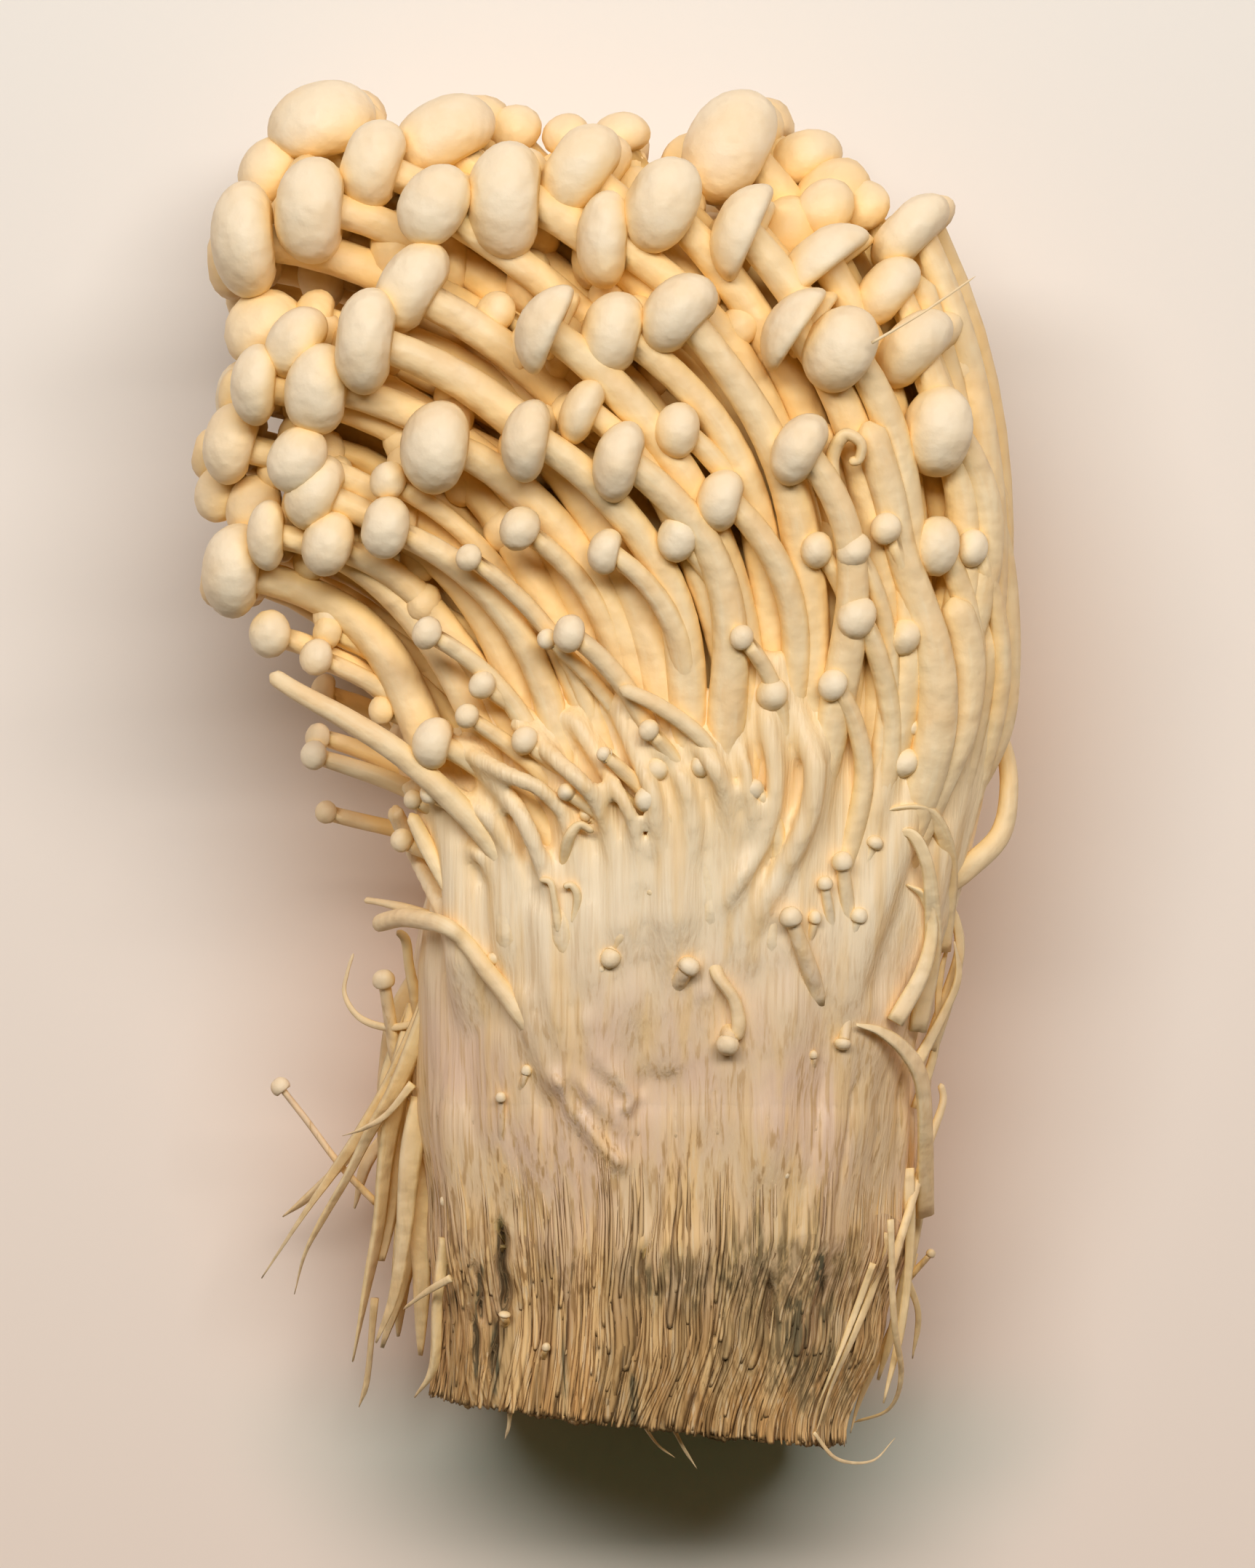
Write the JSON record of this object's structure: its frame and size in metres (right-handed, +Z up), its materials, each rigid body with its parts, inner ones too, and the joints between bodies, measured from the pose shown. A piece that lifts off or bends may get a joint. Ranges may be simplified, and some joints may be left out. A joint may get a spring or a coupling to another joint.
{
  "type": "enoki mushroom bunch",
  "caption": "Bunch of cream enoki mushrooms lying on its side: long thin stems with small round caps, sweeping out of a fused collar that ends in a brown fibrous cut butt.",
  "frame": {"origin": "on the surface the bunch lies on, under the middle of its bounding box", "axes": "+Y runs from the cut butt to the caps, +X to the right seen from above, +Z up from the surface"},
  "size_m": [0.0837, 0.1405, 0.0525],
  "materials": {
    "mushroom_flesh": "smooth, soft, slightly translucent cream flesh with a faint waxy sheen",
    "butt_fibre": "dry, matte, fibrous, tan to brown"
  },
  "bodies": {
    "root": {"mushrooms": "mushroom_flesh", "butt": "butt_fibre"}
  },
  "joints": []
}
